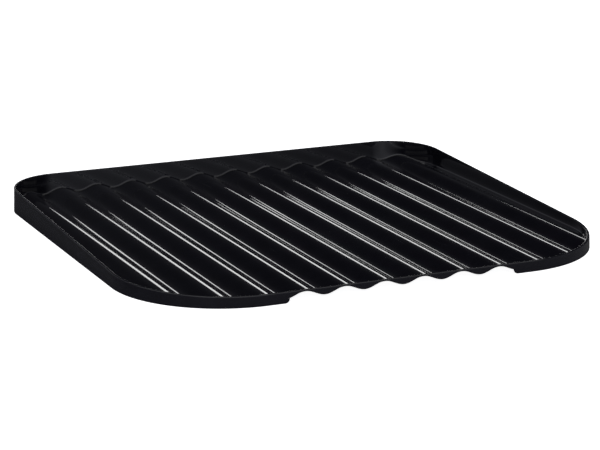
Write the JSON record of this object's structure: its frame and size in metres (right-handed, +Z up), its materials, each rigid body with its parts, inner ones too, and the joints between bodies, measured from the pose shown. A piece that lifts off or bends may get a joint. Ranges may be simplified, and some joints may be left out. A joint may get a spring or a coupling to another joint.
{
  "type": "dish drainer drip tray",
  "caption": "Shallow rounded tray with a corrugated floor, a rim that slopes down to a wavy front lip, and a cut-away front skirt.",
  "frame": {"origin": "on the surface that the tray stands on, under the middle of its footprint", "axes": "+X to the right along the wavy front lip, +Y from the front lip to the high back rim, +Z up"},
  "size_m": [0.4616, 0.4336, 0.025],
  "materials": {
    "tray_plastic": "high-gloss black moulded plastic with a faint flow pattern and fine wear along the rim"
  },
  "bodies": {
    "root": {"drip_tray": "tray_plastic"}
  },
  "joints": []
}
